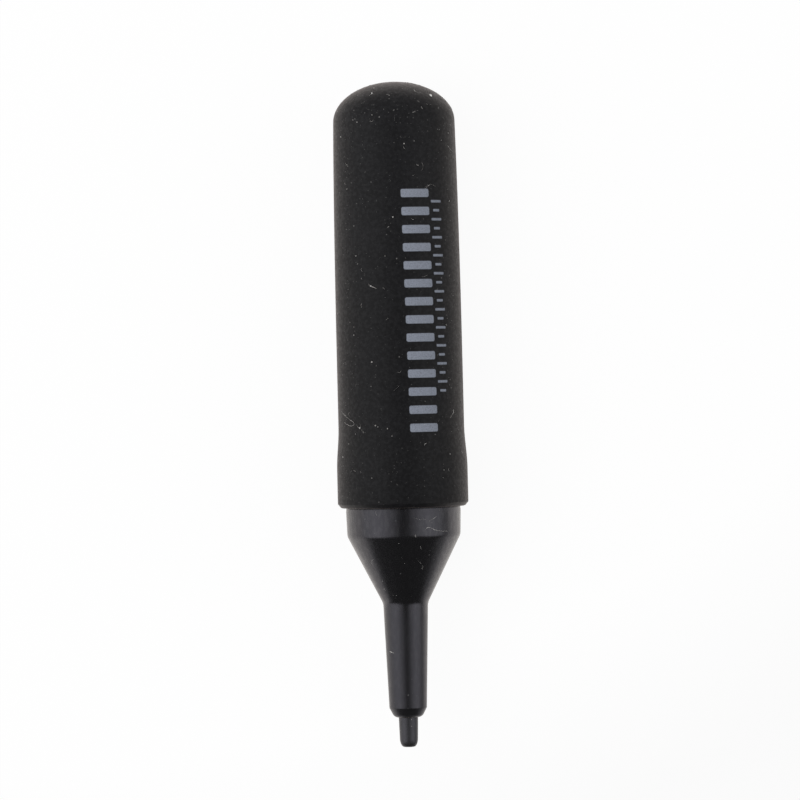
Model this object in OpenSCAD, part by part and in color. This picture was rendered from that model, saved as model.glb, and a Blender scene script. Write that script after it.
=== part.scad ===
// Squeeze-bulb vacuum pick-up pen: a soft rubber bulb stretched over the spigot of a hollow moulded nozzle.
// Outlines are lists of [radius, station] points in millimetres, with stations counted along the pen's
// axis from the tip. Each outline is turned about that axis, and the pen is then laid on its bulb, with
// the crown of the bulb towards +Y and the tip towards -Y.

/* [Tip] */
// Length of the thin tip that the probe plugs into
tip_len = 4.9; // [3:0.1:8]
// Diameter of the tip at its free end
tip_end_d = 3; // [2.6:0.1:3.4]
// Diameter of the tip where it leaves the stem
tip_root_d = 3.2; // [2.8:0.1:4]
// Rounding of the free end of the tip
tip_round = 0.7; // [0.2:0.05:0.9]
// Bore that grips the tube of the probe
probe_bore_d = 1.5; // [0.8:0.1:1.8]
// Length of the probe bore beyond the root of the tip
probe_seat_len = 3.1; // [2:0.1:8]

/* [Stem] */
// Length of the stem, from the root of the tip to the cone
stem_len = 18.9; // [12:0.1:30]
// Diameter of the stem just above its rounded nose
stem_low_d = 6.2; // [5.6:0.05:7]
// Diameter of the stem where it meets the cone
stem_top_d = 7.4; // [6.6:0.1:9]
// Rounding of the nose of the stem
stem_nose_round = 1.9; // [0.5:0.1:2.4]
// Airway through the stem
stem_bore_d = 3.4; // [2.2:0.1:4]

/* [Cone and collar] */
// Length of the cone
cone_len = 11.2; // [7:0.1:18]
// Fillet between the stem and the cone
cone_fillet = 2.5; // [0.5:0.1:6]
// Length of the collar that shows below the bulb
collar_len = 4.7; // [3:0.1:9]
// Diameter of the collar at the edge of the cone
collar_low_d = 18.6; // [17:0.1:19]
// Rounding of the edge between the cone and the collar
collar_edge_round = 0.8; // [0.2:0.1:2]
// Wall of the cone and the spigot
nozzle_wall = 1.6; // [1:0.1:2.4]

/* [Spigot] */
// Diameter of the spigot that the bulb is stretched over
spigot_d = 19; // [18:0.1:21]
// Length of the spigot inside the bulb
spigot_len = 7.4; // [5:0.1:14]
// Lead-in rounding at the end of the spigot
spigot_lead_in = 1.2; // [0.3:0.1:1.5]

/* [Bulb] */
// Length of the bulb from its lip to its crown
bulb_len = 70.3; // [50:0.1:90]
// Diameter of the bulb just above the flare
bulb_low_d = 20.8; // [19:0.1:22]
// Diameter of the bulb at the base of its dome
bulb_top_d = 20.1; // [18:0.1:22]
// Wall of the bulb
bulb_wall = 1.3; // [0.8:0.1:2.2]
// Length over which the stretched mouth eases back to the free diameter
flare_len = 7.2; // [3:0.1:12]
// Height of the dome
dome_height = 6.6; // [4:0.1:10]
// Width of the bevel round the lip, taken off the wall
lip_bevel_w = 0.55; // [0.2:0.05:0.8]
// Height of the bevel round the lip
lip_bevel_h = 0.7; // [0.3:0.05:1.5]
// Rounding of the lower edge of the bevel
lip_round = 0.5; // [0.1:0.05:1]

/* [Hidden] */
$fn = 96;

// Points along each round stretch
corner_steps = 8;
flare_steps = 14;
wall_steps = 10;
dome_steps = 28;

// Least flat ring kept beside a rounded edge
edge_land = 0.05;

// Radii
tip_end_r = tip_end_d / 2;
tip_root_r = tip_root_d / 2;
probe_bore_r = probe_bore_d / 2;
stem_low_r = stem_low_d / 2;
stem_top_r = stem_top_d / 2;
stem_bore_r = stem_bore_d / 2;
collar_low_r = collar_low_d / 2;
spigot_r = spigot_d / 2;
spigot_bore_r = spigot_r - nozzle_wall;
bulb_low_r = bulb_low_d / 2;
bulb_top_r = bulb_top_d / 2;
// The stretched mouth of the bulb takes the diameter of the spigot
mouth_bore_r = spigot_r;
mouth_r = mouth_bore_r + bulb_wall;
// The pen lies on the widest part of the bulb
rest_height = max(mouth_r, bulb_low_r, bulb_top_r);

// Roundings, limited by the walls that carry them
tip_edge_r = min(tip_round, tip_end_r - probe_bore_r - edge_land);
lead_in_r = min(spigot_lead_in, nozzle_wall - edge_land);

// The bevel of the lip leaves a flat ring round the mouth, and its rounding takes up no more than either
lip_bevel_r = mouth_r - min(lip_bevel_w, bulb_wall - 2 * edge_land);
lip_flat = lip_bevel_r - mouth_bore_r;
lip_slope = atan2(lip_bevel_h, mouth_r - lip_bevel_r);
lip_edge_r = min(lip_round, (min(lip_flat, lip_bevel_h) - edge_land) / tan(lip_slope / 2));

// Stations along the axis
probe_bore_end = tip_len + probe_seat_len;
cone_start = tip_len + stem_len;
cone_end = cone_start + cone_len;
lip_station = cone_end + collar_len;
spigot_end = lip_station + spigot_len;
flare_start = spigot_end - lead_in_r;
flare_end = flare_start + flare_len;
crown_station = lip_station + bulb_len;
dome_base = crown_station - dome_height;

// The rounded nose of the stem: its centre, and where it meets the tip and the drafted side
stem_draft = atan((stem_top_r - stem_low_r) / stem_len);
nose_centre_r = stem_low_r - stem_nose_round * cos(stem_draft);
nose_start = -acos(max(0, (tip_root_r - nose_centre_r) / stem_nose_round));
nose_centre_station = tip_len - stem_nose_round * sin(nose_start);

// The inside of the cone lies one wall inside its outside
cone_rise = cone_len / (collar_low_r - stem_top_r);
cone_wall_rise = nozzle_wall * sqrt(1 + cone_rise * cone_rise);
function cone_inside(radius) = cone_start + (radius - stem_top_r) * cone_rise + cone_wall_rise;

// Points of an arc, from one angle to another
function arc(centre, radius, from, to) =
    [for (i = [0:corner_steps])
        let (angle = from + (to - from) * i / corner_steps)
        centre + radius * [cos(angle), sin(angle)]];

function unit(v) = v / norm(v);

// Points of a rounded corner between two straight stretches of an outline
function corner(before, at, after, radius) =
    let (u = unit(before - at),
         v = unit(after - at),
         half = acos(u * v) / 2,
         centre = at + unit(u + v) * radius / sin(half),
         start = at + u * radius / tan(half) - centre,
         end = at + v * radius / tan(half) - centre)
    [for (i = [0:corner_steps])
        centre + radius * unit(start + (end - start) * i / corner_steps)];

// Points of a smooth ease between two radii
function ease(r0, station0, r1, station1) =
    [for (i = [0:flare_steps])
        let (share = i / flare_steps)
        [r0 + (r1 - r0) * (1 - cos(180 * share)) / 2, station0 + (station1 - station0) * share]];

// Points of the long wall of the bulb, which draws in towards the base of the dome
function long_wall(r0, r1) =
    [for (i = [1:wall_steps - 1])
        let (share = i / wall_steps)
        [r0 + (r1 - r0) * pow(share, 3), flare_end + (dome_base - flare_end) * share]];

// Points of a half-elliptical dome, from its base to the axis
function dome(radius, height) =
    [for (i = [0:dome_steps])
        let (angle = 90 * i / dome_steps)
        [radius * cos(angle), dome_base + height * sin(angle)]];

function reversed(points) = [for (i = [len(points) - 1:-1:0]) points[i]];

// Outside of the bulb, from its lip up to the crown
bulb_outside = concat(
    corner([mouth_bore_r, lip_station], [lip_bevel_r, lip_station],
           [mouth_r, lip_station + lip_bevel_h], lip_edge_r),
    [[mouth_r, lip_station + lip_bevel_h]],
    ease(mouth_r, flare_start, bulb_low_r, flare_end),
    long_wall(bulb_low_r, bulb_top_r),
    dome(bulb_top_r, dome_height));

// Inside of the bulb, from its mouth up to the crown
bulb_inside = concat(
    [[mouth_bore_r, lip_station]],
    ease(mouth_bore_r, flare_start, bulb_low_r - bulb_wall, flare_end),
    long_wall(bulb_low_r - bulb_wall, bulb_top_r - bulb_wall),
    dome(bulb_top_r - bulb_wall, dome_height - bulb_wall));

// Outside of the nozzle, from the end of the tip up to the end of the spigot
nozzle_outside = concat(
    [[probe_bore_r, 0]],
    arc([tip_end_r - tip_edge_r, tip_edge_r], tip_edge_r, -90, 0),
    [[tip_root_r, tip_len]],
    arc([nose_centre_r, nose_centre_station], stem_nose_round, nose_start, -stem_draft),
    corner([stem_low_r, nose_centre_station], [stem_top_r, cone_start],
           [collar_low_r, cone_end], cone_fillet),
    corner([stem_top_r, cone_start], [collar_low_r, cone_end],
           [spigot_r, lip_station], collar_edge_round),
    [[spigot_r, lip_station]],
    corner([spigot_r, lip_station], [spigot_r, spigot_end], [spigot_bore_r, spigot_end], lead_in_r));

// Airway through the nozzle, from the end of the spigot down to the probe bore
nozzle_airway = [
    [spigot_bore_r, spigot_end],
    [spigot_bore_r, cone_inside(spigot_bore_r)],
    [stem_bore_r, cone_inside(stem_bore_r)],
    [stem_bore_r, probe_bore_end + stem_bore_r - probe_bore_r],
    [probe_bore_r, probe_bore_end]];

// Lays what is turned about the axis on its side, resting on the bulb
module laid() {
    translate([0, -crown_station / 2, rest_height])
        rotate([-90, 0, 0])
            children();
}

module squeeze_bulb() {
    color([0.13, 0.13, 0.14])
        laid()
            rotate_extrude()
                polygon(concat(bulb_outside, reversed(bulb_inside)));
}

module nozzle() {
    color([0.09, 0.09, 0.1])
        laid()
            rotate_extrude()
                polygon(concat(nozzle_outside, nozzle_airway));
}

squeeze_bulb();
nozzle();
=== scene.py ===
import math
import random

import bpy
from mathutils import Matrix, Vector


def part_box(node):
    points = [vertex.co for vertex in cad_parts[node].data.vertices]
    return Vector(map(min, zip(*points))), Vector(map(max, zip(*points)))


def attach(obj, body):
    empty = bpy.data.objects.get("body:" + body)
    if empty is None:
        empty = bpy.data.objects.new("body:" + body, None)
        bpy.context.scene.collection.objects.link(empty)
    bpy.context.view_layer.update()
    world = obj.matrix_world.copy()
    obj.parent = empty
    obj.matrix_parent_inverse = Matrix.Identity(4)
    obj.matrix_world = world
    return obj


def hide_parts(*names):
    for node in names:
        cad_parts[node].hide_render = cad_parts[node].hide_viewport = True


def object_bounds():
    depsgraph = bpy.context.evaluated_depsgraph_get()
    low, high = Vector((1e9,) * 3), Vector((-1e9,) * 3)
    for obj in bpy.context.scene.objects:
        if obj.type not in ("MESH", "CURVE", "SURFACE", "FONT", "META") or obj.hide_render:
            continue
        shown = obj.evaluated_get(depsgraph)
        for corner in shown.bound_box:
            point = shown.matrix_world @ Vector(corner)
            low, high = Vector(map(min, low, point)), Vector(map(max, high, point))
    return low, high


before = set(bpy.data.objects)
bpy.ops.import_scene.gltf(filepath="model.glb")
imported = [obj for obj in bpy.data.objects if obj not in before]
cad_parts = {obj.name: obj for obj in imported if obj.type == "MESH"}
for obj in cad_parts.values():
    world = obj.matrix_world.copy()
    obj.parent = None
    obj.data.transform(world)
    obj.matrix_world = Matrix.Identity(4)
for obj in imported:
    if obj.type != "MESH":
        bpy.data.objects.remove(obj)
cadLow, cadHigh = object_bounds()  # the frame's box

mm = 0.001
full = 2 * math.pi

bulbLow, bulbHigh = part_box("squeeze_bulb")
nozzleLow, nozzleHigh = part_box("nozzle")
axisHeight = (bulbLow.z + bulbHigh.z) / 2  # the pen's axis runs along Y at this height
lipY = bulbLow.y
crownY = bulbHigh.y
tipY = nozzleLow.y
spigotEndY = nozzleHigh.y
mouthRadius = (bulbHigh.x - bulbLow.x) / 2
spigotRadius = (nozzleHigh.x - nozzleLow.x) / 2
print("frame read, pen length", round((crownY - tipY) / mm, 2), "mm")


# One value in a shader, so that sums on it can be written as plain expressions
class Wire:
    def __init__(self, paint, socket):
        self.paint = paint
        self.socket = socket

    def calc(self, operation, first, second=0.0, clamp=False):
        settings = {"operation": operation, "use_clamp": clamp}
        return self.paint.add("ShaderNodeMath", settings, {0: first, 1: second})

    def __add__(self, other):
        return self.calc("ADD", self, other)

    def __radd__(self, other):
        return self.calc("ADD", other, self)

    def __sub__(self, other):
        return self.calc("SUBTRACT", self, other)

    def __rsub__(self, other):
        return self.calc("SUBTRACT", other, self)

    def __mul__(self, other):
        return self.calc("MULTIPLY", self, other)

    def __truediv__(self, other):
        return self.calc("DIVIDE", self, other)

    def __gt__(self, other):
        return self.calc("GREATER_THAN", self, other)

    def __lt__(self, other):
        return self.calc("LESS_THAN", self, other)

    def __abs__(self):
        return self.calc("ABSOLUTE", self)

    def fraction(self):
        return self.calc("FRACT", self)

    def root(self):
        return self.calc("SQRT", self)

    def angleFrom(self, upright):
        return self.calc("ARCTAN2", self, upright)

    def atLeast(self, other):
        return self.calc("MAXIMUM", self, other)

    def clamped(self):
        return self.calc("ADD", self, 0.0, clamp=True)


# One node tree of a material or of the world
class Paint:
    def __init__(self, tree):
        self.tree = tree
        self.tree.nodes.clear()

    def add(self, kind, settings=None, sockets=None, out=0):
        node = self.tree.nodes.new(kind)
        for key, value in (settings or {}).items():
            setattr(node, key, value)
        for key, value in (sockets or {}).items():
            if isinstance(value, Wire):
                self.tree.links.new(value.socket, node.inputs[key])
            else:
                node.inputs[key].default_value = value
        return Wire(self, node.outputs[out]) if node.outputs else node

    def also(self, wire, out):
        return Wire(self, wire.socket.node.outputs[out])

    def noise(self, place, size, detail=3.0, roughness=0.5):
        sockets = {"Vector": place, "Scale": 1 / size, "Detail": detail, "Roughness": roughness}
        return self.add("ShaderNodeTexNoise", {}, sockets)

    def mixColour(self, share, first, second):
        return self.add("ShaderNodeMix", {"data_type": "RGBA"}, {0: share, 6: first, 7: second}, out=2)


def newPaint(name):
    material = bpy.data.materials.new(name)
    material.use_nodes = True
    return material, Paint(material.node_tree)


def grey(level):
    return (level, level, level, 1.0)


# Camera straight above, with the small turn and the framing of the photograph
cameraSettings = {
    "frameWidth": 132.34 * mm,  # how much of the axis plane the picture shows from side to side
    "distance": 0.75,  # from the axis plane
    "sensor": 36.0,  # width in millimetres, as the camera counts it
    "roll": math.radians(-1.41),
    "pictureSize": 800,
    "penCentre": (401.0, 414.35),  # where the middle of the pen lies in the picture
    "clip": (0.01, 50.0),
}


# Turns a step across and up the picture into a step on the axis plane
def pictureStep(across, up):
    pixel = cameraSettings["frameWidth"] / cameraSettings["pictureSize"]
    turn = cameraSettings["roll"]
    return Vector((across * math.cos(turn) - up * math.sin(turn),
                   across * math.sin(turn) + up * math.cos(turn), 0.0)) * pixel


half = cameraSettings["pictureSize"] / 2
cameraPlace = Vector((0.0, (tipY + crownY) / 2, axisHeight + cameraSettings["distance"]))
cameraPlace += pictureStep(half - cameraSettings["penCentre"][0], cameraSettings["penCentre"][1] - half)


def placeCamera(settings):
    bpy.ops.object.camera_add(location=cameraPlace, rotation=(0.0, 0.0, settings["roll"]))
    camera = bpy.context.object
    camera.name = "pictureCamera"
    camera.data.sensor_width = settings["sensor"]
    camera.data.lens = settings["sensor"] * settings["distance"] / settings["frameWidth"]
    camera.data.clip_start = settings["clip"][0]
    camera.data.clip_end = settings["clip"][1]
    bpy.context.scene.camera = camera


placeCamera(cameraSettings)
print("camera placed")


# Soft boxes that fade towards their edges, with a dark gap above where the camera is.
# Angles are in degrees: from and to count from straight up, and towards is the side, counted from +X.
softBoxes = {
    "leftSoftBox": {"towards": 180, "from": 10, "to": 96, "halfAcross": 33, "radiance": 1.2,
                    "upperFade": 0.87, "lowerFade": 0.32},
    "rightSoftBox": {"towards": 0, "from": 10, "to": 89, "halfAcross": 30, "radiance": 1.2,
                     "upperFade": 0.87, "lowerFade": 0.5},
    "crownSoftBox": {"towards": 90, "from": 30, "to": 88, "halfAcross": 40, "radiance": 0.7,
                     "upperFade": 0.5, "lowerFade": 0.0},
}
softBoxDistance = 0.6  # from the middle of the pen


def placeSoftBox(name, settings):
    middle = math.radians((settings["from"] + settings["to"]) / 2)
    spread = math.radians((settings["to"] - settings["from"]) / 2)
    towards = math.radians(settings["towards"])
    outwards = math.sin(middle)
    place = Vector((outwards * math.cos(towards), outwards * math.sin(towards), math.cos(middle)))
    place *= softBoxDistance
    place.z += axisHeight
    bpy.ops.object.light_add(type="AREA", location=place, rotation=(0.0, middle, towards))
    lamp = bpy.context.object
    lamp.name = name
    lamp.data.shape = "RECTANGLE"
    lamp.data.size = 2 * softBoxDistance * math.tan(spread)
    lamp.data.size_y = 2 * softBoxDistance * math.tan(math.radians(settings["halfAcross"]))
    lamp.data.energy = settings["radiance"] * math.pi * lamp.data.size * lamp.data.size_y
    lamp.visible_camera = False
    lamp.data.use_nodes = True
    paint = Paint(lamp.data.node_tree)
    spot = paint.add("ShaderNodeNewGeometry", out="Parametric")
    # Runs from -1 at the top of the box to 1 at its foot
    down = paint.add("ShaderNodeSeparateXYZ", sockets={0: spot}, out="X") * 2 - 1
    level = 1 - (0 - down).atLeast(0.0) * settings["upperFade"] - down.atLeast(0.0) * settings["lowerFade"]
    glow = paint.add("ShaderNodeEmission", sockets={"Strength": level})
    paint.add("ShaderNodeOutputLight", sockets={"Surface": glow})


for boxName, boxSettings in softBoxes.items():
    placeSoftBox(boxName, boxSettings)


# A broad fill from high on the left brings the light to a plain level and stays out of the reflections
fill = {"distance": 1.2, "lean": math.radians(30.0), "size": 1.2, "radiance": 2.0}


def placeFill(settings):
    lean = settings["lean"]  # from straight up, towards the left
    place = Vector((-math.sin(lean), 0.0, math.cos(lean))) * settings["distance"]
    bpy.ops.object.light_add(type="AREA", location=place, rotation=(0.0, -lean, 0.0))
    lamp = bpy.context.object
    lamp.name = "overheadFill"
    lamp.data.shape = "SQUARE"
    lamp.data.size = settings["size"]
    lamp.data.energy = settings["radiance"] * math.pi * settings["size"] ** 2
    lamp.visible_camera = False
    lamp.visible_glossy = False


placeFill(fill)
print("lamps placed")


# A dim room, which the camera sees as white
roomLevel = 0.07


def paintRoom():
    world = bpy.data.worlds.new("studioRoom")
    bpy.context.scene.world = world
    world.use_nodes = True
    paint = Paint(world.node_tree)
    level = paint.add("ShaderNodeLightPath", out="Is Camera Ray").atLeast(roomLevel)
    background = paint.add("ShaderNodeBackground", sockets={"Color": grey(1.0), "Strength": level})
    paint.add("ShaderNodeOutputWorld", sockets={"Surface": background})


paintRoom()


# A white sheet under the pen on a greyer table. The camera sees both as white, with a trace of the shadow.
floorSettings = {
    "size": 12.0,
    "sheet": 0.9,
    "table": 0.38,
    "sheetMiddle": (-0.005, 0.01),
    "sheetReach": 0.085,
    "sheetLeft": 0.3,  # distances count for less on the left, so the sheet reaches further there
    "sheetLength": 1.25,  # and for more along the pen
    "sheetSkew": 0.7,  # the sheet lies aslant, with its near right corner cut back
    "sheetFade": 0.05,
    "sheetTint": (1.0, 0.96, 0.92, 1.0),  # warm where the pen mirrors it
    "whiteShare": 0.94,
}


def layFloor(settings):
    bpy.ops.object.select_all(action="DESELECT")
    bpy.ops.mesh.primitive_plane_add(size=settings["size"], location=(0.0, 0.0, cadLow.z))
    floor = bpy.context.object
    floor.name = "paleFloor"
    material, paint = newPaint("paleFloor")
    place = paint.add("ShaderNodeTexCoord", out="Object")
    spot = paint.add("ShaderNodeSeparateXYZ", sockets={0: place}, out="X")
    along = paint.also(spot, "Y") - settings["sheetMiddle"][1]
    across = spot - settings["sheetMiddle"][0] - along * settings["sheetSkew"]
    across = across.atLeast(across * -settings["sheetLeft"])
    along = along * settings["sheetLength"]
    reach = (across * across + along * along).root()
    sheet = (1 - (reach - settings["sheetReach"]) / settings["sheetFade"]).clamped()
    camera = paint.add("ShaderNodeLightPath", out="Is Camera Ray")
    mirrored = paint.also(camera, "Is Glossy Ray").atLeast(paint.also(camera, "Is Transmission Ray"))
    seen = camera.atLeast(mirrored * sheet) * settings["whiteShare"]
    colour = paint.mixColour(sheet, grey(settings["table"]), grey(settings["sheet"]))
    lit = paint.add("ShaderNodeBsdfDiffuse", sockets={"Color": colour})
    shown = paint.mixColour(camera, settings["sheetTint"], grey(1.0))
    white = paint.add("ShaderNodeEmission", sockets={"Color": shown, "Strength": 1.0})
    surface = paint.add("ShaderNodeMixShader", sockets={0: seen, 1: lit, 2: white})
    paint.add("ShaderNodeOutputMaterial", sockets={"Surface": surface})
    floor.data.materials.append(material)


layFloor(floorSettings)
print("room and floor ready")


turnedMerge = 0.001 * mm  # points of a turned piece that are closer than this become one


# Draws a half section point by point and turns it round the pen's axis
def turnSection(name, section, segments, smoothAngle):
    bpy.ops.object.select_all(action="DESELECT")
    bpy.ops.mesh.primitive_plane_add(size=1 * mm, location=(section[0][0], section[0][1], axisHeight))
    piece = bpy.context.object
    piece.name = name
    piece.data.name = name
    bpy.ops.object.transform_apply(location=True, rotation=True, scale=True)
    bpy.ops.object.mode_set(mode="EDIT")
    bpy.ops.mesh.select_all(action="SELECT")
    bpy.ops.mesh.merge(type="CENTER")
    for here, there in zip(section, section[1:]):
        step = (there[0] - here[0], there[1] - here[1], 0.0)
        bpy.ops.mesh.extrude_vertices_move(TRANSFORM_OT_translate={"value": step})
    bpy.ops.mesh.select_all(action="SELECT")
    bpy.ops.mesh.spin(steps=segments, angle=full, center=(0.0, 0.0, axisHeight), axis=(0.0, 1.0, 0.0))
    bpy.ops.mesh.select_all(action="SELECT")
    bpy.ops.mesh.remove_doubles(threshold=turnedMerge)
    bpy.ops.mesh.normals_make_consistent(inside=False)
    bpy.ops.object.mode_set(mode="OBJECT")
    bpy.ops.object.shade_smooth_by_angle(angle=math.radians(smoothAngle))
    return piece


# An arc between two angles in degrees, stretched along the pen
def arcPoints(centre, radius, start, end, steps, stretch):
    points = []
    for i in range(steps + 1):
        angle = math.radians(start + (end - start) * i / steps)
        outwards = centre[0] + radius * math.cos(angle)
        along = centre[1] + radius * stretch * math.sin(angle)
        points.append((outwards, along))
    return points


# Rounds the corner at one point of a section
def cornerPoints(before, at, after, radius, steps):
    corner = Vector(at)
    u = (Vector(before) - corner).normalized()
    v = (Vector(after) - corner).normalized()
    halfAngle = math.acos(u.dot(v)) / 2
    centre = corner + (u + v).normalized() * radius / math.sin(halfAngle)
    start = corner + u * radius / math.tan(halfAngle) - centre
    end = corner + v * radius / math.tan(halfAngle) - centre
    points = []
    for i in range(steps + 1):
        spoke = start.lerp(end, i / steps).normalized() * radius
        points.append(tuple(centre + spoke))
    return points


# The squeeze bulb: a soft shell, stretched over the spigot at its mouth and domed at its far end
bulb = {
    "wall": 1.3 * mm,
    "lowRadius": 10.4 * mm,  # just above the flare
    "topRadius": 10.05 * mm,  # at the base of the dome
    "domeHeight": 6.6 * mm,
    "leadIn": 1.2 * mm,  # the rubber starts to draw in where the spigot's edge is rounded
    "flareLength": 7.2 * mm,
    "lipBevel": (0.55 * mm, 0.7 * mm),  # across the wall and along it
    "lipRound": 0.5 * mm,  # rounding of the bevel's lower edge
    "lipCrease": 0.05 * mm,  # rounding of its upper edge
    "drawIn": 3,  # power of the long wall's slow taper
    "segments": 160,
    "flareSteps": 14,
    "wallSteps": 16,
    "domeSteps": 30,
    "lipSteps": 6,
    "creaseSteps": 2,
    "smoothAngle": 40.0,  # in degrees, past which an edge stays sharp
}
flareStartY = spigotEndY - bulb["leadIn"]
flareEndY = flareStartY + bulb["flareLength"]
domeBaseY = crownY - bulb["domeHeight"]


# Radius of the bulb's outside at a place along the pen, less an inset for its inside
def bulbRadius(y, inset=0.0):
    if y <= flareStartY:
        return mouthRadius - inset
    if y <= flareEndY:
        share = (y - flareStartY) / bulb["flareLength"]
        ease = (1 - math.cos(math.pi * share)) / 2
        return mouthRadius + (bulb["lowRadius"] - mouthRadius) * ease - inset
    if y <= domeBaseY:
        share = (y - flareEndY) / (domeBaseY - flareEndY)
        return bulb["lowRadius"] + (bulb["topRadius"] - bulb["lowRadius"]) * share ** bulb["drawIn"] - inset
    crownLift = min(1.0, (y - domeBaseY) / (bulb["domeHeight"] - inset))
    return (bulb["topRadius"] - inset) * math.sqrt(1 - crownLift * crownLift)


# The side of the bulb from the start of the flare to the crown, as (radius, y) points
def bulbSide(inset):
    points = []
    for i in range(bulb["flareSteps"]):
        y = flareStartY + bulb["flareLength"] * i / bulb["flareSteps"]
        points.append((bulbRadius(y, inset), y))
    for i in range(bulb["wallSteps"]):
        y = flareEndY + (domeBaseY - flareEndY) * i / bulb["wallSteps"]
        points.append((bulbRadius(y, inset), y))
    for i in range(bulb["domeSteps"] + 1):
        angle = math.pi / 2 * i / bulb["domeSteps"]
        radius = (bulb["topRadius"] - inset) * math.cos(angle)
        points.append((max(0.0, radius), domeBaseY + (bulb["domeHeight"] - inset) * math.sin(angle)))
    return points


def buildBulb():
    inside = [(spigotRadius, lipY)] + bulbSide(bulb["wall"])
    bevelLow = (mouthRadius - bulb["lipBevel"][0], lipY)
    bevelHigh = (mouthRadius, lipY + bulb["lipBevel"][1])
    bandTop = (mouthRadius, flareStartY)
    lip = cornerPoints(inside[0], bevelLow, bevelHigh, bulb["lipRound"], bulb["lipSteps"])
    lip += cornerPoints(bevelLow, bevelHigh, bandTop, bulb["lipCrease"], bulb["creaseSteps"])
    outside = lip + bulbSide(0.0)
    section = [inside[0]] + outside + inside[::-1]
    piece = turnSection("bulbSkin", section, bulb["segments"], bulb["smoothAngle"])
    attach(piece, "root")
    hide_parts("squeeze_bulb")
    return piece


bulbSkin = buildBulb()
print("bulb turned,", len(bulbSkin.data.polygons), "faces")


# The nozzle: collar, cone, stem and tip in one moulding, hollow right through
nozzle = {
    "tipLength": 4.9 * mm,
    "tipEndRadius": 1.5 * mm,
    "tipRootRadius": 1.6 * mm,
    "tipRound": 0.7 * mm,
    "tipStretch": 2.05,  # the end of the tip is rounded further along the axis than across it
    "boreRadius": 0.75 * mm,
    "boreLength": 8.0 * mm,
    "stemLength": 18.9 * mm,
    "stemLowRadius": 3.1 * mm,
    "stemTopRadius": 3.7 * mm,
    "noseLength": 1.6 * mm,  # the nose of the stem is a chamfer with a well-rounded foot
    "noseFootRadius": 2.28 * mm,
    "noseFootRound": 1.05 * mm,
    "noseEdge": 0.5 * mm,
    "stemBore": 1.7 * mm,
    "coneLength": 11.2 * mm,
    "coneFillet": 2.5 * mm,
    "collarLowRadius": 9.36 * mm,
    "collarEdge": 2.0 * mm,
    "seatLength": 0.5 * mm,  # a shallow groove where the collar goes into the bulb
    "seatDepth": 0.09 * mm,
    "seatRound": 4.5 * mm,
    "leadIn": 1.2 * mm,
    "wall": 1.6 * mm,
    "segments": 144,
    "steps": 10,
    "smoothAngle": 24.0,  # in degrees, past which an edge stays sharp
}
tipRootY = tipY + nozzle["tipLength"]
stemTopY = tipRootY + nozzle["stemLength"]


# The outside from the end of the tip to just inside the bulb, as (radius, y) points
def nozzleSide():
    steps = nozzle["steps"]
    tipRound = nozzle["tipRound"]
    tipCentre = (nozzle["tipEndRadius"] - tipRound, tipY + tipRound * nozzle["tipStretch"])
    tipRoot = (nozzle["tipRootRadius"], tipRootY)
    noseFoot = (nozzle["noseFootRadius"], tipRootY)
    noseTop = (nozzle["stemLowRadius"], tipRootY + nozzle["noseLength"])
    coneFoot = (nozzle["stemTopRadius"], stemTopY)
    coneTop = (nozzle["collarLowRadius"], stemTopY + nozzle["coneLength"])
    collarTop = (spigotRadius, lipY)
    seatShare = nozzle["seatLength"] / (lipY - coneTop[1])
    seatStart = (spigotRadius - (spigotRadius - coneTop[0]) * seatShare, lipY - nozzle["seatLength"])
    seatFoot = (spigotRadius - nozzle["seatDepth"], lipY)
    seatEnd = (spigotRadius, lipY + nozzle["seatDepth"])
    points = arcPoints(tipCentre, tipRound, -90, 0, steps, nozzle["tipStretch"]) + [tipRoot]
    points += cornerPoints(tipRoot, noseFoot, noseTop, nozzle["noseFootRound"], steps)
    points += cornerPoints(noseFoot, noseTop, coneFoot, nozzle["noseEdge"], steps)
    points += cornerPoints(noseTop, coneFoot, coneTop, nozzle["coneFillet"], steps)
    points += cornerPoints(coneFoot, coneTop, collarTop, nozzle["collarEdge"], steps)
    points += cornerPoints(coneTop, seatStart, seatFoot, nozzle["seatRound"], steps)
    return points + [seatFoot, seatEnd]


# The airway, from the end of the spigot down to the end of the tip
def nozzleAirway():
    topRadius = nozzle["stemTopRadius"]
    coneRise = nozzle["coneLength"] / (nozzle["collarLowRadius"] - topRadius)
    wallRise = nozzle["wall"] * math.sqrt(1 + coneRise * coneRise)
    boreEnd = tipY + nozzle["boreLength"]
    innerRadius = spigotRadius - nozzle["wall"]

    def coneInside(radius):
        return stemTopY + (radius - topRadius) * coneRise + wallRise

    points = [(innerRadius, spigotEndY), (innerRadius, coneInside(innerRadius))]
    points += [(nozzle["stemBore"], coneInside(nozzle["stemBore"]))]
    points += [(nozzle["stemBore"], boreEnd + nozzle["stemBore"] - nozzle["boreRadius"])]
    return points + [(nozzle["boreRadius"], boreEnd), (nozzle["boreRadius"], tipY)]


nozzleOutside = nozzleSide()


# Radius of the nozzle's outside at a place along the pen
def nozzleRadius(y):
    for here, there in zip(nozzleOutside, nozzleOutside[1:]):
        if here[1] <= y <= there[1] and here[1] < there[1]:
            return here[0] + (there[0] - here[0]) * (y - here[1]) / (there[1] - here[1])
    return spigotRadius


def buildNozzle():
    spigotOuter = (spigotRadius, spigotEndY)
    spigotInner = (spigotRadius - nozzle["wall"], spigotEndY)
    section = [(nozzle["boreRadius"], tipY)] + nozzleOutside
    section += cornerPoints((spigotRadius, lipY), spigotOuter, spigotInner,
                            nozzle["leadIn"], nozzle["steps"])
    section += nozzleAirway()
    piece = turnSection("nozzleShell", section, nozzle["segments"], nozzle["smoothAngle"])
    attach(piece, "root")
    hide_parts("nozzle")
    return piece


nozzleShell = buildNozzle()
print("nozzle turned,", len(nozzleShell.data.polygons), "faces")


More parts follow.
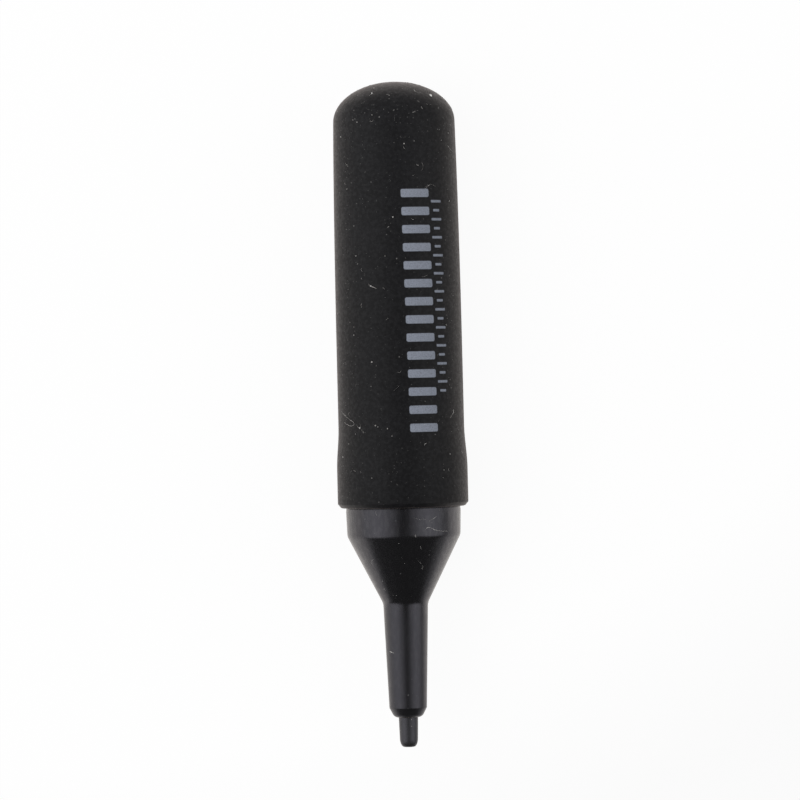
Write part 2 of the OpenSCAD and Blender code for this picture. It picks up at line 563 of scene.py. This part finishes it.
# Lint: fine fibres lying on the rubber and the plastic.
# The notable ones are lists of picture points, and strays are drawn at random round the pen.
bulbFibres = {
    "longHook": [(341.5, 411.5), (345, 415.5), (349, 419), (352.5, 421.5), (354, 423.5), (353, 425.5),
                 (351, 426), (348, 425), (344.5, 422.5)],
    "starStem": [(360, 424), (360.5, 426.5), (359.5, 428.5)],
    "starArm": [(360.5, 428.5), (364, 433)],
    "starCross": [(357.5, 426.5), (360, 428.5)],
    "rightBow": [(453.5, 409.5), (453.5, 412), (452, 414.5), (451, 416.5), (450, 418)],
    "brightDash": [(368.5, 284), (370.5, 286), (373, 287), (376.5, 288.5)],
    "leftTick": [(361, 268.5), (362, 271.5)],
    "middleTick": [(386, 320), (388, 318)],
    "printTick": [(422, 277), (427, 275.5)],
    "crownCurl": [(414, 88.5), (415, 91), (418, 92.5), (420.5, 92.5)],
    "crownLeft": [(369, 95.5), (371.5, 94), (373.5, 93.5)],
    "crownMiddle": [(386.5, 94), (389, 95), (390, 95.5)],
    "domeRightA": [(417.5, 100.5), (419, 102)],
    "domeRightB": [(421, 106.5), (422.5, 109)],
    "domeRightC": [(415.5, 110), (418.5, 111)],
    "domeRightD": [(436.5, 129), (440, 130)],
    "domeRightE": [(443, 117), (444, 119.5)],
    "domeLeftA": [(370, 121), (372, 121.5), (373.5, 119.5)],
    "domeLeftB": [(361.5, 103.5), (364.5, 101.5)],
    "shoulderRight": [(447.5, 145.5), (449.5, 148.5), (452.5, 151.5)],
    "shoulderMiddle": [(403, 146.5), (405, 149)],
    "shoulderLeft": [(345.5, 163), (348, 166.5)],
    "printBowA": [(421.5, 162.5), (423, 165), (422.5, 169), (421, 171)],
    "printBowB": [(424, 189.5), (427.5, 186), (431.5, 184.5), (435.5, 186.5)],
    "lowLeft": [(355, 386.5), (356.5, 383.5)],
    "lowMiddle": [(394, 390.5), (399, 386)],
    "mouthRightA": [(449, 468), (448.5, 469.5), (449.5, 471.5)],
    "mouthRightB": [(442, 477), (444, 478.5)],
    "mouthRightC": [(461.5, 451), (464.5, 453)],
}
nozzleFibres = {
    "collarLongA": [(412, 517.5), (416.5, 518.5), (420.5, 519.5), (426, 519.5)],
    "collarLongB": [(429, 521), (432.5, 519), (436, 517)],
    "collarBow": [(425.5, 529.5), (428, 527.5), (431, 528), (434, 529.5), (440.5, 531), (447.5, 531)],
    "collarLeft": [(375, 511.5), (377, 516)],
    "collarRight": [(439, 508.5), (439.5, 511)],
    "collarLow": [(415.5, 534.5), (415.6, 535.7), (415.8, 536.9), (416, 538)],
    "coneLong": [(416.5, 559), (420, 562.5), (424, 567.5)],
    "coneLeft": [(373.5, 559), (371.5, 562), (372.5, 565)],
    "coneTop": [(420.5, 546.5), (421.5, 549.5)],
    "stemTick": [(390, 651.5), (392, 652.4), (394, 653)],
}
# Fibres that are thinner or thicker than a full one
fibreKinds = {
    "hair": ("collarLongA", "coneLong", "printBowA"),
    "faint": ("printBowB", "lowMiddle", "lowLeft", "domeRightC", "domeRightD", "coneTop", "collarRight"),
    "light": ("longHook", "rightBow", "coneLeft", "collarLow"),
    "bold": ("brightDash",),
    "thick": ("stemTick",),
}

# Bright dots of dust, as picture points by size, and a few whiter flecks
bulbDots = {
    "middle": [(404, 143.5), (375.5, 425.5)],
    "fair": [(387.5, 428.7), (393, 217), (372, 362)],
    "small": [(450, 454), (385, 256), (372, 478), (379, 502), (354, 327), (354, 335), (354, 226),
              (343, 457), (444, 470), (450, 125), (449, 201), (448, 133), (378, 427), (356, 256),
              (392, 436), (374, 88), (372, 115), (349, 444), (357, 122), (353, 120), (347, 189),
              (341, 137)],
    "tiny": [(427, 104)],
}
bulbFlecks = {
    "large": [(430.4, 95.4)],
    "fair": [(371, 286), (372, 93), (360, 428)],
}
nozzleDots = {
    "small": [(411.6, 719.5), (411.6, 726.2)],
    "tiny": [(429, 555), (404.7, 563.4), (393, 595.4), (396.4, 595.4), (382.3, 581.3), (398.9, 543.5),
             (385.4, 622.3)],
}
dotSize = {
    "large": 0.34 * mm,
    "middle": 0.21 * mm,
    "fair": 0.17 * mm,
    "small": 0.13 * mm,
    "tiny": 0.07 * mm,
}

lint = {
    "thickness": 0.045 * mm,  # of a full fibre
    "weights": {"hair": 0.35, "faint": 0.5, "light": 0.7, "bold": 1.7, "thick": 2.5},
    "sunk": 0.25,  # share of the thickness that lies in the skin
    "endTaper": 0.5,
    "seed": 11,
    "curl": 0.7,
    "turn": math.radians(150.0),  # no stray lies under the pen, where it rests
    "sightSteps": 6,  # steps that bring a sight line to the skin
    "fibreSteps": 3,  # stretches between two points of a fibre
    "grainSteps": 1,
    "roundness": 1,
    "merge": 0.0005 * mm,
    "smoothAngle": 60.0,
}
# Strays are short fibres, and grains of dust that are little more than a lump
strays = {
    "fibre": {"step": (0.06 * mm, 0.2 * mm), "joints": (2, 4), "thickness": (0.4, 0.95)},
    "grain": {"step": (0.02 * mm, 0.045 * mm), "joints": (2, 2), "thickness": (0.4, 1.2)},
    "sideGrain": {"step": (0.03 * mm, 0.08 * mm), "joints": (2, 3), "thickness": (0.7, 1.8)},
}
sideAngles = (math.radians(48.0), math.radians(80.0))  # from the top, where the dust on the sides lies
# The strays of each piece: their kind and count, and the stretch of the pen that they lie on
strayStretches = {
    "bulbLint": [("fibre", 70, lipY + 1 * mm, domeBaseY),
                 ("fibre", 16, domeBaseY, crownY - 1 * mm)],
    "nozzleLint": [("fibre", 3, stemTopY, lipY - 1 * mm)],
    "bulbDust": [("grain", 700, lipY + 1 * mm, domeBaseY),
                 ("sideGrain", 420, lipY + 1 * mm, domeBaseY + 3 * mm),
                 ("sideGrain", 90, domeBaseY + 3 * mm, crownY - 0.2 * mm),
                 ("grain", 110, domeBaseY, crownY - 0.3 * mm)],
    "nozzleDust": [("grain", 90, tipY + 6 * mm, lipY - 0.5 * mm)],
}
strayDraw = random.Random(lint["seed"])


# Where the sight line through a picture point meets the skin, as an angle from the top and a place along Y
def pictureToSkin(point, skinRadius):
    step = pictureStep(point[0] - half, half - point[1])
    height = 0.0
    for i in range(lint["sightSteps"]):
        nearness = 1 - height / cameraSettings["distance"]
        x = cameraPlace.x + step.x * nearness
        y = cameraPlace.y + step.y * nearness
        height = math.sqrt(max(0.0, skinRadius(y) ** 2 - x * x))
    return math.atan2(x, height), y


def fibreWeight(name):
    for kind, names in fibreKinds.items():
        if name in names:
            return lint["weights"][kind]
    return 1.0


# A fibre is its thickness, against a full one, and its points on the skin
def namedFibres(fibres, skinRadius):
    laid = []
    for name, points in fibres.items():
        laid.append((fibreWeight(name), [pictureToSkin(point, skinRadius) for point in points]))
    return laid


# A dot is a fibre about as long as it is thick
def namedDots(dots, skinRadius):
    laid = []
    for kind, places in dots.items():
        size = dotSize[kind]
        for place in places:
            angle, y = pictureToSkin(place, skinRadius)
            points = [(angle, y - size / 2), (angle, y), (angle, y + size / 2)]
            laid.append((size / lint["thickness"], points))
    return laid


def strayFibres(kind, count, lowY, highY, skinRadius):
    settings = strays[kind]
    laid = []
    for i in range(count):
        angle = strayDraw.uniform(-lint["turn"], lint["turn"])
        if kind == "sideGrain":
            angle = math.copysign(strayDraw.uniform(*sideAngles), angle)
        y = strayDraw.uniform(lowY, highY)
        heading = strayDraw.uniform(0.0, full)
        curl = strayDraw.uniform(-lint["curl"], lint["curl"])
        step = strayDraw.uniform(*settings["step"])
        points = [(angle, y)]
        for j in range(strayDraw.randint(*settings["joints"])):
            angle += math.cos(heading) * step / skinRadius(y)
            y += math.sin(heading) * step
            heading += curl
            points.append((angle, y))
        laid.append((strayDraw.uniform(*settings["thickness"]), points))
    return laid


def straysOf(name, skinRadius):
    laid = []
    for kind, count, lowY, highY in strayStretches[name]:
        laid += strayFibres(kind, count, lowY, highY, skinRadius)
    return laid


# Draws fibres as round curves along the skin and makes them one mesh
def layFibres(name, fibres, skinRadius, curveSteps):
    bpy.ops.object.select_all(action="DESELECT")
    bpy.ops.curve.primitive_nurbs_path_add(location=(0.0, 0.0, 0.0))
    piece = bpy.context.object
    piece.name = name
    curve = piece.data
    curve.splines.clear()
    for thickness, points in fibres:
        lift = thickness * lint["thickness"] * (0.5 - lint["sunk"])
        spline = curve.splines.new("BEZIER")
        spline.resolution_u = curveSteps
        spline.bezier_points.add(len(points) - 1)
        for (angle, y), knot in zip(points, spline.bezier_points):
            radius = skinRadius(y) + lift
            knot.co = (radius * math.sin(angle), y, axisHeight + radius * math.cos(angle))
            knot.handle_left_type = "AUTO"
            knot.handle_right_type = "AUTO"
            knot.radius = thickness
        spline.bezier_points[0].radius = thickness * lint["endTaper"]
        spline.bezier_points[-1].radius = thickness * lint["endTaper"]
    curve.bevel_depth = lint["thickness"] / 2
    curve.bevel_resolution = lint["roundness"]
    curve.use_fill_caps = True
    bpy.ops.object.convert(target="MESH")
    piece.data.name = name
    bpy.ops.object.mode_set(mode="EDIT")
    bpy.ops.mesh.select_all(action="SELECT")
    bpy.ops.mesh.remove_doubles(threshold=lint["merge"])
    bpy.ops.mesh.normals_make_consistent(inside=False)
    bpy.ops.object.mode_set(mode="OBJECT")
    bpy.ops.object.shade_smooth_by_angle(angle=math.radians(lint["smoothAngle"]))
    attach(piece, "root")
    return piece


def layBulbLint():
    fibres = namedFibres(bulbFibres, bulbRadius) + namedDots(bulbDots, bulbRadius)
    fibres += straysOf("bulbLint", bulbRadius)
    piece = layFibres("bulbLint", fibres, bulbRadius, lint["fibreSteps"])
    return piece


def layBulbFlecks():
    flecks = namedDots(bulbFlecks, bulbRadius)
    piece = layFibres("bulbFlecks", flecks, bulbRadius, lint["fibreSteps"])
    return piece


def layBulbDust():
    grains = straysOf("bulbDust", bulbRadius)
    piece = layFibres("bulbDust", grains, bulbRadius, lint["grainSteps"])
    return piece


def layNozzleLint():
    fibres = namedFibres(nozzleFibres, nozzleRadius) + namedDots(nozzleDots, nozzleRadius)
    fibres += straysOf("nozzleLint", nozzleRadius)
    piece = layFibres("nozzleLint", fibres, nozzleRadius, lint["fibreSteps"])
    return piece


def layNozzleDust():
    grains = straysOf("nozzleDust", nozzleRadius)
    piece = layFibres("nozzleDust", grains, nozzleRadius, lint["grainSteps"])
    return piece


lintPieces = [layBulbLint(), layNozzleLint()]
dustPieces = [layBulbDust(), layNozzleDust()]
fleckPiece = layBulbFlecks()
laidPieces = lintPieces + dustPieces + [fleckPiece]
print("lint and dust laid,", sum(len(piece.data.polygons) for piece in laidPieces), "faces")


# Matte rubber with a fine powdery grain, stray dust and a printed scale of plain bars and ticks
rubber = {
    "black": (0.004, 0.004, 0.0046, 1.0),
    "powder": (0.009, 0.009, 0.0106, 1.0),
    "cloudSize": 9 * mm,
    "powderSize": 0.6 * mm,
    "powderDetail": 4.0,
    "powderBite": 0.7,  # strength of the powder's finest detail
    "grainSize": 0.19 * mm,
    "grainDetail": 2.0,
    "shade": {"base": 0.24, "powder": 1.6, "grain": 1.4, "cloud": 0.6},
    "crownLighten": 0.34,  # the rubber's colour is painted lighter towards the crown
    "roughness": 0.53,
    "roughGrain": 0.16,
    "roughPowder": 0.2,
    "bloom": 1.0,  # most of the patchy film that shows at a low angle
    "bloomBase": 0.35,
    "bloomContrast": 7.0,
    "bloomRoughness": 0.5,
    "bloomIor": 1.15,
    "rimFade": 0.1 * mm,
    "rimGloss": 0.04,  # the bevel of the lip is smoother than the wall
    "rimBloom": 0.35,
    "height": {"grain": 0.6, "powder": 0.4, "dust": 0.8},
    "bump": 0.6,
    "bumpDepth": 0.03 * mm,
    "ior": 1.26,
    "sheen": 0.18,
    "sheenRoughness": 0.35,
    "sheenTint": (1.0, 0.83, 0.8, 1.0),
    "dust": (0.36, 0.35, 0.34, 1.0),
    "faintSpecks": {"cell": 0.45 * mm, "share": 0.26, "radius": 0.07 * mm, "tone": 0.2},
    "fineSpecks": {"cell": 0.8 * mm, "share": 0.11, "radius": 0.09 * mm, "tone": 0.5},
    "shakeSize": 0.1 * mm,
    "shake": 0.16 * mm,
    "dustyFromY": 33 * mm,  # dust gathers towards the crown
    "dustyRun": 14 * mm,
    "dustyGain": 1.3,
}
scalePrint = {
    "ink": (0.235, 0.257, 0.31, 1.0),
    "inkBase": 0.4,  # least share of ink, where the rubber's grain is lowest
    "inkGloss": 0.08,
    "count": 14,
    "pitch": 2.95 * mm,
    "bar": (4.9 * mm, 1.35 * mm),  # round the bulb and along it
    "barCorner": 0.3 * mm,
    "barsAngle": math.radians(18.0),  # from the top, towards +X
    "barsTopY": 37.6 * mm,
    "tick": (2.1 * mm, 0.4 * mm),
    "shortTick": 1.3 * mm,
    "tickCorner": 0.12 * mm,
    "ticksAngle": math.radians(39.5),
    "ticksTopY": 35.5 * mm,
    "tickCount": 22,
    "twist": math.radians(3.6) / (41 * mm),  # the print leans a little round the bulb
    "edge": 0.09 * mm,
    "ragged": 0.05 * mm,
    "ragSize": 0.22 * mm,
}


# Share of ink in a rounded bar, from the distances to its middle
def barInk(across, along, size, corner, rag):
    outAcross = (abs(across) - (size[0] * 0.5 - corner)).atLeast(0.0)
    outAlong = (abs(along) - (size[1] * 0.5 - corner)).atLeast(0.0)
    distance = (outAcross * outAcross + outAlong * outAlong).root()
    return ((corner - distance + rag) / scalePrint["edge"] + 0.5).clamped()


# Share of ink at a place on the bulb, from the row of bars and the row of ticks
def printInk(paint, place):
    across = paint.add("ShaderNodeSeparateXYZ", sockets={0: place}, out="X")
    along = paint.also(across, "Y")
    above = paint.also(across, "Z") - axisHeight
    run = scalePrint["barsTopY"] - along
    turn = across.angleFrom(above) - run * scalePrint["twist"]
    rag = (paint.noise(place, scalePrint["ragSize"]) - 0.5) * scalePrint["ragged"]
    radius = bulb["lowRadius"]
    pitch = scalePrint["pitch"]
    inBar = ((run / pitch).fraction() - 0.5) * pitch
    fromBars = (turn - scalePrint["barsAngle"]) * radius
    bars = barInk(fromBars, inBar, scalePrint["bar"], scalePrint["barCorner"], rag)
    bars = bars * (run > 0.0) * (run < pitch * scalePrint["count"])
    tickRun = scalePrint["ticksTopY"] - along
    tickPitch = pitch / 2
    inTick = ((tickRun / tickPitch).fraction() - 0.5) * tickPitch
    isLong = (tickRun / pitch).fraction() < 0.5
    longer = scalePrint["tick"][0] - scalePrint["shortTick"]
    tickSize = (scalePrint["shortTick"] + isLong * longer, scalePrint["tick"][1])
    fromTicks = (turn - scalePrint["ticksAngle"]) * radius
    ticks = barInk(fromTicks, inTick, tickSize, scalePrint["tickCorner"], rag)
    ticks = ticks * (tickRun > 0.0) * (tickRun < tickPitch * scalePrint["tickCount"])
    return bars.atLeast(ticks)


speckShape = {"leastSize": 0.25, "softEdge": 0.35, "leastTone": 0.3}  # against a speck's radius and tone


# Scattered specks: small lumps round the points of a cell pattern, kept in a share of the cells
def specks(paint, place, kind, gain=1.0):
    reach = kind["radius"] / kind["cell"]
    cells = paint.add("ShaderNodeTexVoronoi", {"voronoi_dimensions": "3D", "feature": "F1"},
                      {"Vector": place, "Scale": 1 / kind["cell"], "Randomness": 1.0}, out="Distance")
    chance = paint.add("ShaderNodeSeparateColor", sockets={0: paint.also(cells, "Color")}, out=0)
    size = (paint.also(chance, 1) + speckShape["leastSize"]) * reach
    inside = ((size - cells) / (speckShape["softEdge"] * reach) + 0.5).clamped()
    kept = chance < gain * kind["share"]
    tone = speckShape["leastTone"] + paint.also(chance, 2) * (1 - speckShape["leastTone"])
    return inside * kept * tone * kind["tone"]


shakeDetail = 2.0


# A place shaken a little, so that what is drawn on it has ragged edges
def shaken(paint, place, size, amount):
    stir = paint.also(paint.noise(place, size, shakeDetail), "Color")
    step = (amount, amount, amount)
    return paint.add("ShaderNodeVectorMath", {"operation": "MULTIPLY_ADD"}, {0: stir, 1: step, 2: place})


# A place drawn out, so that a pattern on it lies in streaks
def stretched(paint, place, factors):
    return paint.add("ShaderNodeVectorMath", {"operation": "MULTIPLY"}, {0: place, 1: factors})


# The bump of a surface, from its height at each place
def roughened(paint, height, settings):
    sockets = {"Strength": settings["bump"], "Distance": settings["bumpDepth"], "Height": height}
    return paint.add("ShaderNodeBump", {}, sockets)


def paintRubber():
    material, paint = newPaint("bulbRubber")
    place = paint.add("ShaderNodeTexCoord", out="Object")
    along = paint.add("ShaderNodeSeparateXYZ", sockets={0: place}, out="Y")
    cloud = paint.noise(place, rubber["cloudSize"])
    powder = paint.noise(place, rubber["powderSize"], rubber["powderDetail"], rubber["powderBite"])
    grain = paint.noise(place, rubber["grainSize"], rubber["grainDetail"])
    ink = printInk(paint, place)
    dusty = ((along - rubber["dustyFromY"]) / rubber["dustyRun"]).clamped()
    dusty = 1 + dusty * rubber["dustyGain"]
    loose = shaken(paint, place, rubber["shakeSize"], rubber["shake"])
    faint = specks(paint, loose, rubber["faintSpecks"], dusty)
    fine = specks(paint, loose, rubber["fineSpecks"], dusty)
    dust = faint.atLeast(fine)
    # the rubber's colour is painted lighter towards the crown
    crownLift = ((along - lipY) / (crownY - lipY)).clamped() * rubber["crownLighten"]
    share = rubber["shade"]
    shade = (powder - 0.5) * share["powder"] + (grain - 0.5) * share["grain"]
    shade = (shade + (cloud - 0.5) * share["cloud"] + share["base"] + crownLift).clamped()
    colour = paint.mixColour(shade, rubber["black"], rubber["powder"])
    colour = paint.mixColour(ink * (scalePrint["inkBase"] + grain).clamped(), colour, scalePrint["ink"])
    colour = paint.mixColour(dust, colour, rubber["dust"])
    rim = ((lipY + bulb["lipBevel"][1] - along) / rubber["rimFade"]).clamped()
    rough = rubber["roughness"] + (grain - 0.5) * rubber["roughGrain"]
    rough = rough + (powder - 0.5) * rubber["roughPowder"]
    rough = rough - ink * scalePrint["inkGloss"] - rim * rubber["rimGloss"]
    bloom = ((powder - 0.5) * rubber["bloomContrast"] + rubber["bloomBase"]).clamped()
    bloom = bloom * (1 - ink) * rubber["bloom"]
    bloom = bloom.atLeast(rim * rubber["rimBloom"])
    share = rubber["height"]
    height = grain * share["grain"] + powder * share["powder"] + dust * share["dust"]
    skin = paint.add("ShaderNodeBsdfPrincipled", {}, {
        "Base Color": colour,
        "Roughness": rough,
        "Normal": roughened(paint, height, rubber),
        "IOR": rubber["ior"],
        "Sheen Weight": rubber["sheen"],
        "Sheen Roughness": rubber["sheenRoughness"],
        "Sheen Tint": rubber["sheenTint"],
        "Coat Weight": bloom,
        "Coat Roughness": rubber["bloomRoughness"],
        "Coat IOR": rubber["bloomIor"],
    })
    paint.add("ShaderNodeOutputMaterial", sockets={"Surface": skin})
    return material


bulbSkin.data.materials.append(paintRubber())
print("rubber painted")


# Satin moulded plastic with faint handling marks
plastic = {
    "black": 0.0045,
    "roughness": 0.26,
    "stemRoughness": 0.34,  # the stem is more satin than the cone and the collar
    "satinRun": 3 * mm,
    "tipRoughness": 0.4,
    "tipRun": 0.3 * mm,
    "tipPale": 0.03,  # share of pale colour painted on the tip
    "dust": (0.3, 0.3, 0.3, 1.0),
    "specks": {"cell": 0.7 * mm, "share": 0.16, "radius": 0.07 * mm, "tone": 0.5},
    "shakeSize": 0.12 * mm,
    "shake": 0.09 * mm,
    "cloudSize": 2.4 * mm,
    "cloudDetail": 5.0,
    "grainSize": 0.16 * mm,
    "grainDetail": 2.0,
    "streakSize": 0.25 * mm,
    "streakDetail": 2.0,
    "drawn": (1.0, 0.06, 1.0),  # stretches the streaks along the pen
    "rough": {"cloud": 0.07, "streak": 0.1, "dust": 0.4},
    "height": {"grain": 0.6, "streak": 0.6, "cloud": 0.3},
    "bump": 0.42,
    "bumpDepth": 0.01 * mm,
    "film": 0.3,  # most of the patchy film that handling leaves
    "filmSize": 0.5 * mm,
    "filmDetail": 3.0,
    "filmBase": 0.15,
    "filmContrast": 6.0,
    "filmRoughness": 0.3,
    "filmFade": 0.5,  # there is less of it on the stem
    "smeared": (1.0, 0.35, 1.0),  # stretches its patches along the pen
    "ior": 1.65,
    "specularTint": (0.89, 0.87, 1.0, 1.0),
    "sheen": 0.2,
    "sheenRoughness": 0.3,
    "sheenTint": (1.0, 0.86, 0.78, 1.0),
}


def paintPlastic():
    material, paint = newPaint("nozzlePlastic")
    place = paint.add("ShaderNodeTexCoord", out="Object")
    along = paint.add("ShaderNodeSeparateXYZ", sockets={0: place}, out="Y")
    cloud = paint.noise(place, plastic["cloudSize"], plastic["cloudDetail"])
    grain = paint.noise(place, plastic["grainSize"], plastic["grainDetail"])
    drawn = stretched(paint, place, plastic["drawn"])
    streak = paint.noise(drawn, plastic["streakSize"], plastic["streakDetail"])
    smear = stretched(paint, place, plastic["smeared"])
    patch = paint.noise(smear, plastic["filmSize"], plastic["filmDetail"])
    loose = shaken(paint, place, plastic["shakeSize"], plastic["shake"])
    dust = specks(paint, loose, plastic["specks"])
    satin = ((stemTopY - along) / plastic["satinRun"]).clamped()
    # onTip is 1 on the tip: there the plastic is rougher and painted paler
    onTip = ((tipRootY - along) / plastic["tipRun"]).clamped()
    pale = dust.atLeast(onTip * plastic["tipPale"])
    colour = paint.mixColour(pale, grey(plastic["black"]), plastic["dust"])
    rough = plastic["roughness"] + satin * (plastic["stemRoughness"] - plastic["roughness"])
    rough = rough + onTip * (plastic["tipRoughness"] - plastic["stemRoughness"])
    share = plastic["rough"]
    rough = rough + (cloud - 0.5) * share["cloud"] + (streak - 0.5) * share["streak"] + dust * share["dust"]
    share = plastic["height"]
    height = grain * share["grain"] + streak * share["streak"] + cloud * share["cloud"]
    film = ((patch - 0.5) * plastic["filmContrast"] + plastic["filmBase"]).clamped() * plastic["film"]
    film = film * (1 - satin * plastic["filmFade"])
    skin = paint.add("ShaderNodeBsdfPrincipled", {}, {
        "Base Color": colour,
        "Roughness": rough,
        "Normal": roughened(paint, height, plastic),
        "IOR": plastic["ior"],
        "Specular Tint": plastic["specularTint"],
        "Sheen Weight": plastic["sheen"],
        "Sheen Roughness": plastic["sheenRoughness"],
        "Sheen Tint": plastic["sheenTint"],
        "Coat Weight": film,
        "Coat Roughness": plastic["filmRoughness"],
    })
    paint.add("ShaderNodeOutputMaterial", sockets={"Surface": skin})
    return material


nozzleShell.data.materials.append(paintPlastic())
print("plastic painted")


# Pale fibres, greyer grains and near-white flecks, with a tone that changes from place to place
lintTones = {"low": (0.22, 0.21, 0.2, 1.0), "high": (0.78, 0.76, 0.73, 1.0)}
dustTones = {"low": (0.03, 0.029, 0.028, 1.0), "high": (0.34, 0.33, 0.32, 1.0)}
fleckTones = {"low": (0.8, 0.79, 0.77, 1.0), "high": (0.92, 0.91, 0.9, 1.0)}
lintFinish = {
    "patchSize": 0.8 * mm,
    "patchDetail": 1.0,
    "toneBase": 0.4,
    "toneContrast": 3.4,
    "roughness": 0.7,
    "ior": 1.4,
}


def paintLint(name, tones):
    material, paint = newPaint(name)
    place = paint.add("ShaderNodeTexCoord", out="Object")
    patch = paint.noise(place, lintFinish["patchSize"], lintFinish["patchDetail"])
    tone = ((patch - 0.5) * lintFinish["toneContrast"] + lintFinish["toneBase"]).clamped()
    colour = paint.mixColour(tone, tones["low"], tones["high"])
    sockets = {"Base Color": colour, "Roughness": lintFinish["roughness"], "IOR": lintFinish["ior"]}
    fibre = paint.add("ShaderNodeBsdfPrincipled", {}, sockets)
    paint.add("ShaderNodeOutputMaterial", sockets={"Surface": fibre})
    return material


lintMaterial = paintLint("paleLint", lintTones)
for lintPiece in lintPieces:
    lintPiece.data.materials.append(lintMaterial)
dustMaterial = paintLint("greyDust", dustTones)
for dustPiece in dustPieces:
    dustPiece.data.materials.append(dustMaterial)
fleckPiece.data.materials.append(paintLint("whiteFleck", fleckTones))
print("lint and dust painted")

bpy.context.scene.view_settings.view_transform = "Standard"
